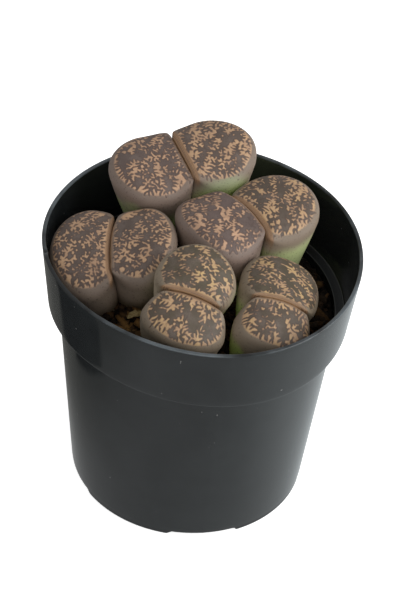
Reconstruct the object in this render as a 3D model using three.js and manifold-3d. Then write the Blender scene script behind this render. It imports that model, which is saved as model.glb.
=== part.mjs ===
// Potted lithops: five two-leaved stone plants in a small plastic nursery pot
// that is filled with a bark and grit mix.
//
// Millimetres, +Z up. The pot stands on four feet at Z 0, its axis is near the
// origin, and -Y is its front.
//
// The pot is a lathe profile whose round outline is gently squeezed, as a soft
// plastic pot is. A plant is one closed body: two leaves side by side with a
// slit between them, and a tapering root. The soil fills the pot and has a
// plain hole for each plant.

import * as THREE from 'three';
import { mergeVertices } from 'three/addons/utils/BufferGeometryUtils.js';
import Module from 'manifold-3d';

const wasm = await Module();
wasm.setup();

const RAD = Math.PI / 180;

// Pot sizes.
const RIM_RADIUS = 35;
const POT_HEIGHT = 62.9;
const BAND_HEIGHT = 16.1;
const BAND_FOOT_RADIUS = 33.2;
const NECK_RADIUS = 30.9;
const BASE_RADIUS = 26.3;
const WALL = 0.9;
const FLOOR = 1.2;
const BASE_ROUND = 1.1;
const FOOT_HEIGHT = 1;
const FOOT_WIDTH = 2.6;
const FEET = [[36, 85], [117, 166], [216, 265], [298, 347]];
const DRAIN_RADIUS = 3;
const DRAIN_CENTRE = 17;
const DRAIN_ANGLES = [11, 101, 191, 281];
const BAND_FOOT = POT_HEIGHT - BAND_HEIGHT;

// How the soft pot is squeezed: bulges round the outline, their share of the
// radius at the rim, and the angle of the first bulge in degrees. The base is
// round, and the foot of the band has most of the squeeze.
const SQUEEZE = [
  { bulges: 2, share: 0.0254, angle: 122.4 },
  { bulges: 3, share: 0.0097, angle: 57.8 },
  { bulges: 4, share: 0.0055, angle: 21.5 },
];
const SQUEEZE_AT_BAND = 0.88;

// Soil sizes.
const GAP = 0.3;
const SOIL_EDGE = 45.6;
const SOIL_CROWN = 4.6;
const CHIPS = 38;

// Leaf sizes that every plant shares. The cheek is the widest line round a
// leaf, and the lip is the edge along the slit.
const LIP_DROP = 1.3;
const SLIT_HALF_WIDTH = 0.25;
const SLIT_DEPTH = 5;
const FUSED = 0.5;
const BURIED = 8;
const LEAF_MIDDLE = 0.42;
const AROUND = 24;
const TOP_ROWS = 5;
const SIDE_ROWS = 5;
const END_ROWS = 2;

// The five plants. A plant's own frame has X across the slit, Y along it and
// its origin in the slit at lip height. "left" is the leaf on its -X side and
// "right" the leaf on its +X side. reach: slit to cheek. half: half the leaf's
// length. square: how square its outline is. lift: its height over the origin.
// fall: slope down from the slit. slide: shift along the slit. cheek: how far
// the cheek lies below the crown. taper: how much of its width it loses in
// 20 mm of depth.
const PLANTS = {
  lithops_back: {
    at: [-6.4, 20.9, 71], turn: 27, leanX: 10, leanY: -5, bend: -0.3,
    left: { reach: 16.7, half: 9.9, square: 1.9, lift: -0.5, fall: -0.05, slide: 0.2, cheek: 3.5, taper: 0.27 },
    right: { reach: 16.9, half: 9.8, square: 1.9, lift: 0.4, fall: 0, slide: -0.3, cheek: 3.5, taper: 0.21 },
  },
  lithops_right: {
    at: [7.8, 6.3, 67.2], turn: 41, leanX: 6, leanY: -1, bend: 1.8,
    left: { reach: 13.6, half: 10.3, square: 2.5, lift: 0.4, fall: -0.1, slide: 1, cheek: 3.7, taper: 0.2 },
    right: { reach: 17.7, half: 9.9, square: 2.1, lift: 0.4, fall: -0.1, slide: -1.1, cheek: 3.5, taper: 0.2 },
  },
  lithops_left: {
    at: [-19, -2.7, 62.6], turn: 2, leanX: 12, leanY: -11, bend: -1,
    left: { reach: 14.6, half: 12, square: 1.95, lift: 0.2, fall: -0.1, slide: 0.4, cheek: 3.9, taper: 0.32 },
    right: { reach: 13.2, half: 10.7, square: 1.9, lift: 0.7, fall: -0.1, slide: 1, cheek: 3.8, taper: 0.32 },
  },
  lithops_front_left: {
    at: [-0.8, -21, 63.9], turn: 79, leanX: 13, leanY: -19, bend: 1.6,
    left: { reach: 10.6, half: 9.2, square: 1.9, lift: 0.4, fall: 0, slide: 0.7, cheek: 3.5, taper: 0.4 },
    right: { reach: 14.3, half: 8.7, square: 1.9, lift: 1, fall: -0.1, slide: 1.6, cheek: 3.8, taper: 0.42 },
  },
  lithops_front_right: {
    at: [17.9, -18.4, 62.4], turn: 87, leanX: 17, leanY: -10, bend: 2.4,
    left: { reach: 9.6, half: 8.4, square: 2.4, lift: -0.2, fall: 0.08, slide: 0.6, cheek: 4.1, taper: 0.42 },
    right: { reach: 16.3, half: 8.8, square: 2.6, lift: 0.2, fall: 0.08, slide: 0.8, cheek: 3.5, taper: 0.42 },
  },
};

// The pale flake of old husk on the soil: an arched strip. sweep: the arc it spans
// in degrees. over: its feet's height over the soil's formula.
const FLAKE = { at: [-13.2, -11.1], turn: 20, radius: 3.1, thick: 0.6, width: 2.1, sweep: 95, over: 0.5 };

const PLASTIC = new THREE.MeshStandardMaterial({ color: 0x2c2f2f, roughness: 0.38, metalness: 0 });
const BARK = new THREE.MeshStandardMaterial({ color: 0x35240f, roughness: 0.95, metalness: 0 });
const SKIN = new THREE.MeshStandardMaterial({ color: 0x8d7468, roughness: 0.6, metalness: 0 });
const HUSK = new THREE.MeshStandardMaterial({ color: 0xb39c6a, roughness: 0.85, metalness: 0 });

// A geometry as a solid that can be joined and cut. Vertices that share a
// place become one, and triangles that this leaves without area are dropped.
function solid(geometry) {
  const bare = geometry.clone();
  bare.deleteAttribute('normal');
  bare.deleteAttribute('uv');
  const merged = mergeVertices(bare, 1e-4);
  const triangles = [];
  for (let i = 0; i < merged.index.count; i += 3) {
    const [a, b, c] = [0, 1, 2].map((k) => merged.index.getX(i + k));
    if (a !== b && b !== c && c !== a) {
      triangles.push(a, b, c);
    }
  }
  return new wasm.Manifold(new wasm.Mesh({
    numProp: 3,
    vertProperties: Float32Array.from(merged.attributes.position.array),
    triVerts: Uint32Array.from(triangles),
  }));
}

// A solid as a geometry again.
function geometryOf(manifold) {
  const mesh = manifold.getMesh();
  const geometry = new THREE.BufferGeometry();
  geometry.setAttribute('position', new THREE.BufferAttribute(mesh.vertProperties, 3));
  geometry.setIndex(new THREE.BufferAttribute(mesh.triVerts, 1));
  return geometry;
}

// A lathe profile of [radius, height] pairs turned round the Z axis, from the
// axis at the bottom, out and up, and back to the axis.
function turned(profile, segments) {
  const points = profile.map(([radius, height]) => new THREE.Vector2(radius, height));
  return new THREE.LatheGeometry(points, segments).rotateX(Math.PI / 2);
}

// Moves every vertex of a geometry to where the function puts it.
function reshape(geometry, place) {
  const position = geometry.attributes.position;
  for (let i = 0; i < position.count; i += 1) {
    const [x, y, z] = place(position.getX(i), position.getY(i), position.getZ(i), i);
    position.setXYZ(i, x, y, z);
  }
  return geometry;
}

// The pot's squeezed outline: how far a point at this angle and height moves
// out, as a factor on its radius.
function squeezeAt(angle, z) {
  const low = Math.max(z - FOOT_HEIGHT, 0) / (BAND_FOOT - FOOT_HEIGHT);
  const high = Math.max(z - BAND_FOOT, 0) / BAND_HEIGHT;
  const amount = SQUEEZE_AT_BAND * Math.min(low, 1) + (1 - SQUEEZE_AT_BAND) * high;
  let factor = 1;
  for (const wave of SQUEEZE) {
    factor += amount * wave.share * Math.cos(wave.bulges * (angle - wave.angle * RAD));
  }
  return factor;
}

function squeezed(geometry) {
  return reshape(geometry, (x, y, z) => {
    const factor = squeezeAt(Math.atan2(y, x), z);
    return [x * factor, y * factor, z];
  });
}

// One foot: a short arc under the wall's edge, sunk a little into the base.
function foot([from, to]) {
  const outer = BASE_RADIUS - 0.4;
  const shape = new THREE.Shape();
  shape.absarc(0, 0, outer, from * RAD, to * RAD, false);
  shape.absarc(0, 0, outer - FOOT_WIDTH, to * RAD, from * RAD, true);
  return new THREE.ExtrudeGeometry(shape, {
    depth: FOOT_HEIGHT + 0.5,
    curveSegments: 8,
    bevelEnabled: false,
  });
}

function drainHole(angle) {
  const x = DRAIN_CENTRE * Math.cos(angle * RAD);
  const y = DRAIN_CENTRE * Math.sin(angle * RAD);
  return new THREE.CylinderGeometry(DRAIN_RADIUS, DRAIN_RADIUS, 4 * FLOOR, 14)
    .rotateX(Math.PI / 2)
    .translate(x, y, FOOT_HEIGHT + FLOOR / 2);
}

function potGeometry() {
  const profile = [
    [0, FOOT_HEIGHT],
    [BASE_RADIUS - BASE_ROUND, FOOT_HEIGHT],
    [BASE_RADIUS - 0.3 * BASE_ROUND, FOOT_HEIGHT + 0.3 * BASE_ROUND],
    [BASE_RADIUS, FOOT_HEIGHT + BASE_ROUND],
    [NECK_RADIUS, BAND_FOOT],
    [BAND_FOOT_RADIUS - 0.4, BAND_FOOT],
    [BAND_FOOT_RADIUS, BAND_FOOT + 0.4],
    [RIM_RADIUS, POT_HEIGHT - 0.3],
    [RIM_RADIUS - 0.3, POT_HEIGHT],
    [RIM_RADIUS - WALL + 0.2, POT_HEIGHT],
    [RIM_RADIUS - WALL, POT_HEIGHT - 0.2],
    [BAND_FOOT_RADIUS - WALL, BAND_FOOT + WALL],
    [NECK_RADIUS - WALL, BAND_FOOT + WALL],
    [BASE_RADIUS - WALL, FOOT_HEIGHT + 2 * BASE_ROUND],
    [BASE_RADIUS - WALL - BASE_ROUND, FOOT_HEIGHT + FLOOR],
    [0, FOOT_HEIGHT + FLOOR],
  ];
  let pot = solid(squeezed(turned(profile, 64)));
  for (const span of FEET) {
    pot = pot.add(solid(foot(span)));
  }
  for (const angle of DRAIN_ANGLES) {
    pot = pot.subtract(solid(drainHole(angle)));
  }
  return geometryOf(pot);
}

// A leaf is a sphere's grid pulled into shape. The columns go round its
// D-shaped outline, whose flat side is the slit. The rows go from the middle of
// the crown out to the cheek, then down the tapering side to a blunt end.
// grow swells it, for the hole it stands in.
function leafPoint(leaf, depth, row, angle, grow) {
  const middle = LEAF_MIDDLE * leaf.reach;
  const cos = Math.cos(angle);
  const sin = Math.sin(angle);
  const outward = cos >= 0
    ? (leaf.reach - middle) * Math.abs(cos) ** (2 / leaf.square)
    : -middle * Math.abs(cos) ** 0.33;
  const along = leaf.half * Math.sign(sin) * Math.abs(sin) ** (2 / leaf.square);
  const spread = Math.sin(Math.min(row / TOP_ROWS, 1) * Math.PI / 2);
  let across = middle + spread * outward;
  let y = spread * along;

  // Crown: flat in the middle, then round down to the cheek, with a tighter
  // round and a smaller drop along the slit.
  const inner = Math.max(-cos, 0);
  const drop = leaf.cheek * (1 - inner) + LIP_DROP * inner;
  const power = 2.7 * (1 - inner) + 5 * inner;
  const bow = (y / leaf.half) ** 2;
  let z = leaf.lift - drop * (1 - (1 - spread ** power) ** (1 / power)) - leaf.fall * across - bow;

  // Side: narrower with depth, and round at the end.
  const down = Math.max(row - TOP_ROWS, 0) / SIDE_ROWS;
  const fallen = down * (depth + z + grow);
  const ending = Math.max(row - TOP_ROWS - SIDE_ROWS + END_ROWS, 0) / END_ROWS;
  const scale = 1 - leaf.taper * (fallen / 20) - 0.15 * (fallen / 20) ** 2;
  const round = Math.sqrt(1 - ending ** 2);
  const heart = 0.35 * middle;
  const inward = Math.min(Math.max(1 - across / middle, 0), 1);
  across = heart + (across * scale + grow * spread * cos - heart) * round;
  y = (y * scale + grow * spread * sin) * round;
  z = z * (1 - down) - (depth + grow) * down;

  // Slit: open at the lip, fused below the slit's floor.
  const opening = THREE.MathUtils.clamp(
    THREE.MathUtils.mapLinear(z, 0, -SLIT_DEPTH, SLIT_HALF_WIDTH, 0),
    -FUSED,
    SLIT_HALF_WIDTH,
  );
  across += opening * inward * round;
  return [across, y, z];
}

// A leaning plant straightens with depth, so that its root goes down: how far
// its middle sways back at a height in its own frame.
function swayOf(plant) {
  return (z) => {
    const depth = Math.max(-z - 4, 0);
    const back = (depth * depth) / 26;
    return [Math.tan(plant.leanY * RAD) * back, -Math.tan(plant.leanX * RAD) * back];
  };
}

function leafGeometry(plant, side, grow) {
  const leaf = side < 0 ? plant.left : plant.right;
  const depth = plant.at[2] - SOIL_EDGE + BURIED;
  const rows = TOP_ROWS + SIDE_ROWS;
  const grid = new THREE.SphereGeometry(1, AROUND, rows);
  const sway = swayOf(plant);
  return reshape(grid, (gx, gy, gz, index) => {
    const row = Math.floor(index / (AROUND + 1));
    const column = (index % (AROUND + 1)) % AROUND;
    const angle = (column / AROUND) * 2 * Math.PI + Math.PI;
    const [across, along, z] = leafPoint(leaf, depth, row, angle, grow);
    const y = side * along + leaf.slide;
    const nearSlit = Math.max(1 - Math.abs(across) / 13, 0);
    const bend = plant.bend * (1 - (y / 10) ** 2) * nearSlit;
    const [swayX, swayY] = sway(z);
    return [side * across + bend + swayX, y + swayY, z];
  });
}

// A whole plant in its own frame: both leaves and the root below them.
function plantSolid(plant, grow) {
  const depth = plant.at[2] - SOIL_EDGE + BURIED;
  const length = 12 + 2 * grow;
  const [swayX, swayY] = swayOf(plant)(-depth);
  const root = new THREE.CylinderGeometry(4 + grow, 0.8 + grow, length, 10)
    .rotateX(Math.PI / 2)
    .applyMatrix4(new THREE.Matrix4().makeRotationFromEuler(
      new THREE.Euler(plant.leanX * RAD, plant.leanY * RAD, 0, 'ZXY'),
    ).invert())
    .translate(plant.bend + swayX, swayY, -depth - 3);
  return solid(leafGeometry(plant, -1, grow))
    .add(solid(leafGeometry(plant, 1, grow)))
    .add(solid(root));
}

// The matrix that stands a plant in the pot.
function standing(plant) {
  const turn = new THREE.Euler(plant.leanX * RAD, plant.leanY * RAD, plant.turn * RAD, 'ZXY');
  return new THREE.Matrix4().makeRotationFromEuler(turn).setPosition(...plant.at);
}

// Seeded random numbers from 0 to 1, so that the soil is the same each time.
function seededRandom(seed) {
  let state = seed;
  return () => {
    state = (state * 1664525 + 1013904223) % 4294967296;
    return state / 4294967296;
  };
}

// Height of the soil: a low crown with soft lumps, even where the flake lies.
function soilHeight(x, y) {
  const reach = Math.min(Math.hypot(x, y) / (NECK_RADIUS - WALL), 1);
  const crown = SOIL_CROWN * (1 - reach ** 4);
  const lumps = 0.35 * Math.sin(0.55 * x + 1.3) * Math.cos(0.6 * y) + 0.25 * Math.sin(0.9 * x - 0.8 * y);
  const away = Math.hypot(x - FLAKE.at[0], y - FLAKE.at[1]) / 5;
  return SOIL_EDGE + crown + lumps * Math.min(away, 1);
}

// A chip of bark: a small flat block with one narrow end, sunk half into the soil.
function chip(x, y, random) {
  const length = 2.2 + 2.4 * random();
  const width = length * (0.35 + 0.3 * random());
  const block = new THREE.BoxGeometry(length, width, 1.6);
  reshape(block, (bx, by, bz) => [bx, bx > 0 ? by * 0.55 : by, bz]);
  const tilt = new THREE.Euler(0.5 * (random() - 0.5), 0.5 * (random() - 0.5), 6.28 * random(), 'ZXY');
  block.applyMatrix4(new THREE.Matrix4().makeRotationFromEuler(tilt));
  return block.translate(x, y, soilHeight(x, y) + 0.1);
}

// The pot's inner shape less the gap, from the floor up, closed by the rings of
// [radius, height] pairs given for its top.
function filling(top, place) {
  const bottom = FOOT_HEIGHT + FLOOR + GAP;
  const profile = [
    [0, bottom],
    [BASE_RADIUS - WALL - BASE_ROUND - GAP, bottom],
    [BASE_RADIUS - WALL - GAP - 0.1, bottom + BASE_ROUND],
    ...top,
  ];
  return reshape(turned(profile, 64), (x, y, z) => {
    const factor = squeezeAt(Math.atan2(y, x), z);
    return place(x * factor, y * factor, z);
  });
}

// Soil: the filling up to a lumpy top, with chips joined on and cut off at the
// wall, and a hole for each plant. Chips keep clear of the holes and the flake.
function soilGeometry(holes) {
  const edge = NECK_RADIUS - WALL - GAP - 0.2;
  const top = [[edge, SOIL_EDGE]];
  for (let i = 6; i >= 0; i -= 1) {
    top.push([(edge - 0.6) * (i / 6) ** 0.9, SOIL_EDGE + 0.01]);
  }
  const body = filling(top, (x, y, z) => [x, y, z > SOIL_EDGE ? soilHeight(x, y) : z]);
  const liner = filling([[edge, SOIL_EDGE], [edge, POT_HEIGHT], [0, POT_HEIGHT]], (x, y, z) => [x, y, z]);
  let soil = solid(body);

  const random = seededRandom(7);
  let placed = 0;
  while (placed < CHIPS) {
    const radius = 29 * Math.sqrt(random());
    const angle = 2 * Math.PI * random();
    const x = radius * Math.cos(angle);
    const y = radius * Math.sin(angle);
    const fromFlake = Math.hypot(x - FLAKE.at[0], y - FLAKE.at[1]);
    if (fromFlake > 4.6 && holes.every((hole) => clearOf(hole, x, y))) {
      soil = soil.add(solid(chip(x, y, random)));
      placed += 1;
    }
  }
  soil = soil.intersect(solid(liner));
  for (const hole of holes) {
    soil = soil.subtract(hole.cutter);
  }
  return geometryOf(soil);
}

// Whether a spot on the soil is at least a chip's length from a hole's edge.
function clearOf(hole, x, y) {
  return hole.outline.every(([hx, hy]) => Math.hypot(x - hx, y - hy) > 2.9)
    && Math.hypot(x - hole.centre[0], y - hole.centre[1]) > hole.radius;
}

// The hole for a plant: the swollen plant, and its outline at soil height.
function holeFor(plant) {
  const matrix = standing(plant);
  const outline = [];
  let radius = 0;
  const centre = [0, 0];
  for (const side of [-1, 1]) {
    const geometry = leafGeometry(plant, side, 0).applyMatrix4(matrix);
    const position = geometry.attributes.position;
    for (let i = 0; i < position.count; i += 1) {
      const x = position.getX(i);
      const y = position.getY(i);
      if (Math.abs(position.getZ(i) - soilHeight(x, y)) < 2.5) {
        outline.push([x, y]);
      }
    }
  }
  for (const [x, y] of outline) {
    centre[0] += x / outline.length;
    centre[1] += y / outline.length;
  }
  for (const [x, y] of outline) {
    radius = Math.max(radius, Math.hypot(x - centre[0], y - centre[1]));
  }
  const cutter = solid(geometryOf(plantSolid(plant, GAP)).applyMatrix4(matrix));
  return { cutter, outline, centre, radius: 0.9 * radius };
}

// The flake: a thin arched strip.
function flakeGeometry() {
  const from = (90 - FLAKE.sweep / 2) * RAD;
  const to = (90 + FLAKE.sweep / 2) * RAD;
  const shape = new THREE.Shape();
  shape.absarc(0, 0, FLAKE.radius, from, to, false);
  shape.absarc(0, 0, FLAKE.radius - FLAKE.thick, to, from, true);
  return new THREE.ExtrudeGeometry(shape, {
    depth: FLAKE.width,
    curveSegments: 8,
    bevelEnabled: false,
  }).rotateX(Math.PI / 2).translate(0, FLAKE.width / 2, 0);
}

const potted = new THREE.Group();

const pot = new THREE.Mesh(potGeometry(), PLASTIC);
pot.name = 'pot';
potted.add(pot);

const soil = new THREE.Mesh(soilGeometry(Object.values(PLANTS).map(holeFor)), BARK);
soil.name = 'soil';
potted.add(soil);

for (const [name, plant] of Object.entries(PLANTS)) {
  const lithops = new THREE.Mesh(geometryOf(plantSolid(plant, 0)), SKIN);
  lithops.name = name;
  lithops.position.set(...plant.at);
  lithops.rotation.set(plant.leanX * RAD, plant.leanY * RAD, plant.turn * RAD, 'ZXY');
  potted.add(lithops);
}

const flake = new THREE.Mesh(flakeGeometry(), HUSK);
const flakeFoot = (FLAKE.radius - FLAKE.thick) * Math.cos((FLAKE.sweep / 2) * RAD);
flake.name = 'husk_flake';
flake.position.set(FLAKE.at[0], FLAKE.at[1], soilHeight(...FLAKE.at) + FLAKE.over - flakeFoot);
flake.rotation.z = FLAKE.turn * RAD;
potted.add(flake);

// The squeeze puts the pot a little to one side: the whole is moved back so
// that the middle of its box is over the origin.
const box = new THREE.Box3().setFromObject(potted, true);
potted.position.set(-(box.min.x + box.max.x) / 2, -(box.min.y + box.max.y) / 2, 0);

const object = new THREE.Group();
object.add(potted);

export default object;
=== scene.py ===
# %% [markdown]
# # A pot of stone plants
#
# Five two-leaved stone plants stand close together in a small black nursery pot.
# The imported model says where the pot, the soil, each plant and the flake of husk
# are. A finer piece replaces each of them in the same place, with the surface of
# the real thing: coral-like leaf markings, waxy skin, bark chips, satin plastic.
#
# Lengths are in millimetres and become metres only when a mesh is made.

# %% The fixed frame
import math

import bpy
import numpy as np
from mathutils import Matrix, Vector


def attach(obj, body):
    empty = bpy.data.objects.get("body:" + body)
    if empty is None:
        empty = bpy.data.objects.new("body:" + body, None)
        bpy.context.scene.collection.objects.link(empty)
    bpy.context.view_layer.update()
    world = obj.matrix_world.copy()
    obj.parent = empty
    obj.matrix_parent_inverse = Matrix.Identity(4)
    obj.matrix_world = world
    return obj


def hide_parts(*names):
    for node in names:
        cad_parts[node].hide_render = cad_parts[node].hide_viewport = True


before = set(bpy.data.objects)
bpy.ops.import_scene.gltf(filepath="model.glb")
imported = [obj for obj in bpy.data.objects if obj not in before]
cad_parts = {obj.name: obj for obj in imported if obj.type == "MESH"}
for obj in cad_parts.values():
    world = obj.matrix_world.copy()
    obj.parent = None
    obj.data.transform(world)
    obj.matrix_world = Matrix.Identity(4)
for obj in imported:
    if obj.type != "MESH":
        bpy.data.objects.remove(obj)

MM = 0.001
# The squeezed pot's box has its middle a little beside the pot's axis, and the
# part's origin is under the middle of the box.
AXIS = np.array([0.3365, 0.1117, 0.0])
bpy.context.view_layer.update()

# %% [markdown]
# ## Meshes from numpy grids
#
# Each piece is worked out as whole arrays of points, joined into quads. One
# helper makes the mesh. Values for its points travel with it as attributes, and
# the materials read them.

# %% From arrays to a piece
def full_turn(columns):
    """Angles spaced evenly round a full turn."""
    return np.arange(columns) * 2 * np.pi / columns


def polar(radius, angle):
    """The two coordinates of points at a radius and an angle."""
    return radius * np.cos(angle), radius * np.sin(angle)


def wrap_quads(rows, columns, first=0):
    """Quads of a grid whose last column meets its first."""
    row = np.arange(rows - 1)[:, None] * columns + first
    here = np.arange(columns)[None, :]
    there = (here + 1) % columns
    quads = [row + here, row + there, row + columns + there, row + columns + here]
    return np.stack(quads, axis=-1).reshape(-1, 4)


def fan(pole, ring):
    """Triangles from one point to a closed ring of points."""
    return np.stack([np.full(len(ring), pole), ring, np.roll(ring, -1)], axis=-1)


def closed_tube(rows, columns):
    """Faces of rings joined into a tube, and a fan at each end to a pole. The two
    poles are the points that follow the rings' points."""
    first, last = np.arange(columns), np.arange(columns) + (rows - 1) * columns
    pole = rows * columns
    return [wrap_quads(rows, columns), fan(pole, first[::-1]), fan(pole + 1, last)]


def make_piece(name, points, faces, values=None):
    """Makes a smooth-shaded object from points in mm, a list of face arrays and
    a dictionary of one number for each point."""
    mesh = bpy.data.meshes.new(name)
    corners = np.concatenate([array.ravel() for array in faces]).astype(np.int32)
    sizes = np.concatenate([np.full(len(array), array.shape[1]) for array in faces])
    starts = np.concatenate([[0], np.cumsum(sizes)[:-1]]).astype(np.int32)
    mesh.vertices.add(len(points))
    mesh.vertices.foreach_set("co", (np.asarray(points) * MM).astype(np.float32).ravel())
    mesh.loops.add(len(corners))
    mesh.loops.foreach_set("vertex_index", corners)
    mesh.polygons.add(len(sizes))
    mesh.polygons.foreach_set("loop_start", starts)
    mesh.update(calc_edges=True)
    for key, array in (values or {}).items():
        attribute = mesh.attributes.new(key, "FLOAT", "POINT")
        attribute.data.foreach_set("value", np.asarray(array, np.float32).ravel())
    mesh.shade_smooth()
    mesh.validate()
    piece = bpy.data.objects.new(name, mesh)
    bpy.context.scene.collection.objects.link(piece)
    print(name, len(points), "points,", int((sizes - 2).sum()), "triangles")
    return piece


def stand_for(piece, node, material):
    """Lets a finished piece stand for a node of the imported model."""
    piece.data.materials.clear()
    piece.data.materials.append(material)
    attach(piece, "root")
    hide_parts(node)


# %% [markdown]
# ## Shader maths as expressions
#
# "Tan where the marking is above a noise" is one line of arithmetic. A small class
# wraps a socket, so that it can be written that way, and adds the Math nodes.

# %% A socket that can be calculated with
class Wire:
    """A material's socket. Its sums, differences and products are Math nodes."""

    def __init__(self, finish, socket):
        self.finish = finish
        self.socket = socket

    def math(self, operation, first, second):
        """The result of one Math node."""
        return self.finish.node("ShaderNodeMath", {"operation": operation}, {0: first, 1: second})

    def __add__(self, other):
        return self.math("ADD", self, other)

    def __sub__(self, other):
        return self.math("SUBTRACT", self, other)

    def __rsub__(self, other):
        return self.math("SUBTRACT", other, self)

    def __mul__(self, other):
        return self.math("MULTIPLY", self, other)

    __radd__ = __add__
    __rmul__ = __mul__


class Finish:
    """A material under construction, and the nodes it is made of."""

    def __init__(self, name):
        self.material = bpy.data.materials.new(name)
        self.material.use_nodes = True
        self.tree = self.material.node_tree
        self.tree.nodes.clear()

    def node(self, kind, settings=None, inputs=None, output=0):
        """Adds a node: first its settings, then the values or links of its sockets."""
        made = self.tree.nodes.new(kind)
        for key, value in (settings or {}).items():
            if key == "stops":
                self.set_stops(made.color_ramp, value)
            else:
                setattr(made, key, value)
        for key, value in (inputs or {}).items():
            if isinstance(value, Wire):
                self.tree.links.new(value.socket, made.inputs[key])
            else:
                made.inputs[key].default_value = value
        return None if output is None else Wire(self, made.outputs[output])

    @staticmethod
    def set_stops(ramp, stops):
        """Sets a colour ramp's stops from (position, colour) pairs."""
        while len(ramp.elements) < len(stops):
            ramp.elements.new(0.5)
        for element, (position, colour) in zip(ramp.elements, stops):
            element.position = position
            element.color = (*colour, 1)

    def place(self, scale=(1, 1, 1)):
        """Where a point is, multiplied by a factor for each axis."""
        place = self.node("ShaderNodeTexCoord", output="Object")
        if scale == (1, 1, 1):
            return place
        return self.node("ShaderNodeMapping", None, {"Vector": place, "Scale": scale})

    def axis(self, name):
        """Where a point is along X, Y or Z."""
        return self.node("ShaderNodeSeparateXYZ", None, {"Vector": self.place()}, output=name)

    def value(self, name):
        """A number that the mesh carries at each point."""
        return self.node("ShaderNodeAttribute", {"attribute_name": name}, output="Fac")

    def noise(self, size, detail=2.0, roughness=0.5, where=None):
        """Noise from 0 to 1 whose lumps are about this many millimetres wide."""
        inputs = {"Vector": where or self.place(), "Scale": 1 / (size * MM)}
        inputs.update(Detail=detail, Roughness=roughness)
        return self.node("ShaderNodeTexNoise", None, inputs)

    def step(self, value, low, high):
        """0 below low, 1 above high, and a soft step between."""
        settings = {"interpolation_type": "SMOOTHSTEP"}
        inputs = {"Value": value, 1: low, 2: high, 3: 0.0, 4: 1.0}
        return self.node("ShaderNodeMapRange", settings, inputs)

    def mix(self, first, second, amount):
        """The first colour, with this amount of the second laid over it."""
        first, second = [(*c, 1) if isinstance(c, tuple) else c for c in (first, second)]
        inputs = {0: amount, 6: first, 7: second}
        return self.node("ShaderNodeMix", {"data_type": "RGBA"}, inputs, output=2)

    def layers(self, colour, *over):
        """A colour with others laid over it in turn, each with its own amount."""
        for other, amount in over:
            colour = self.mix(colour, other, amount)
        return colour

    def bump(self, height, depth):
        """A normal from a height of 0 to 1 that stands for this many millimetres."""
        inputs = {"Height": height, "Strength": 1.0, "Distance": depth * MM}
        return self.node("ShaderNodeBump", None, inputs)

    def surface(self, **sockets):
        """The closing shader. An underscore in a name stands for a space."""
        inputs = {key.replace("_", " "): value for key, value in sockets.items()}
        shader = self.node("ShaderNodeBsdfPrincipled", None, inputs)
        self.node("ShaderNodeOutputMaterial", None, {"Surface": shader}, output=None)
        print(self.material.name, "has", len(self.tree.nodes), "nodes")
        return self.material


# %% [markdown]
# ## Camera
#
# The photograph looks down at about forty degrees from over half a metre, with a
# long lens. The camera's three directions were worked out from the traced rim,
# band and base.

# %% Camera
CAMERA_AT = (0.336, -429.94, 418.35)
CAMERA_RIGHT = (0.99624149, 0.05414065, 0.06761419)
CAMERA_UP = (-0.08654979, 0.65343996, 0.75201419)
CAMERA_BACK = (-0.00346727, -0.75503974, 0.65566987)

lens = bpy.data.cameras.new("camera")
lens.lens = 151.95
lens.sensor_width = 36
lens.clip_start = 0.01
lens.clip_end = 20
camera = bpy.data.objects.new("camera", lens)
turned = Matrix((CAMERA_RIGHT, CAMERA_UP, CAMERA_BACK)).transposed().to_4x4()
camera.matrix_world = Matrix.Translation([value * MM for value in CAMERA_AT]) @ turned
bpy.context.scene.collection.objects.link(camera)
bpy.context.scene.camera = camera
print("camera", round(math.hypot(*CAMERA_AT)), "mm from the pot's foot")

# %% [markdown]
# ## Studio
#
# The light comes from everywhere and a little more from the right: a white world
# is the even part, a large soft light on the right rounds the leaves, and a weak
# one in front keeps their chins from going black behind the band. The floor glows
# faintly, to be as pale as the backdrop, and it isn't mirrored: the shiny black
# wall would show it as a bright edge that the photograph doesn't have. The wall
# mirrors a sheet under the floor instead, bright on the right and dim on the left.
# Something black stood close beside the pot on its left and shows only in the
# band's gloss: a black card stands there, which the camera doesn't see.

# %% World and lights
world = bpy.data.worlds.new("studio")
world.use_nodes = True
sky = world.node_tree.nodes["Background"].inputs
sky["Color"].default_value = (1.0, 1.0, 1.0, 1)
sky["Strength"].default_value = 0.48
bpy.context.scene.world = world
bpy.context.scene.view_settings.view_transform = "Standard"
LIT_POINT = (0, 0, 0.06)


def soft_light(name, at, size, power, colour):
    """A square area light that faces the plants: its place and size in metres,
    its power in watts."""
    lamp = bpy.data.lights.new(name, "AREA")
    lamp.size = size
    lamp.energy = power
    lamp.color = colour
    light = bpy.data.objects.new(name, lamp)
    light.rotation_euler = (Vector(at) - Vector(LIT_POINT)).to_track_quat("Z", "Y").to_euler()
    light.location = at
    bpy.context.scene.collection.objects.link(light)
    print(name, "light,", power, "W,", size, "m wide")


soft_light("key", at=(0.72, -0.14, 0.48), size=0.7, power=6.4, colour=(1.0, 0.985, 0.96))
soft_light("fill", at=(-0.05, -0.72, 0.46), size=0.5, power=1.4, colour=(1.0, 0.99, 0.97))

# %% Floor
SHEET_HALF = 1500


def level_sheet(name, z):
    """One large level square at this height."""
    corners = [(-1, -1), (1, -1), (1, 1), (-1, 1)]
    points = [(SHEET_HALF * x, SHEET_HALF * y, z) for x, y in corners]
    return make_piece(name, points, [np.array([[0, 1, 2, 3]])])


stage = Finish("studio_floor")
grain = stage.noise(40, 3)
floor_finish = stage.surface(
    Base_Color=stage.mix((0.9, 0.9, 0.895), (0.93, 0.93, 0.93), grain),
    Roughness=0.9,
    Emission_Color=(1, 1, 1, 1),
    Emission_Strength=0.75,
)
floor = level_sheet("floor", 0)
floor.data.materials.append(floor_finish)
floor.visible_glossy = False

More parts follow.
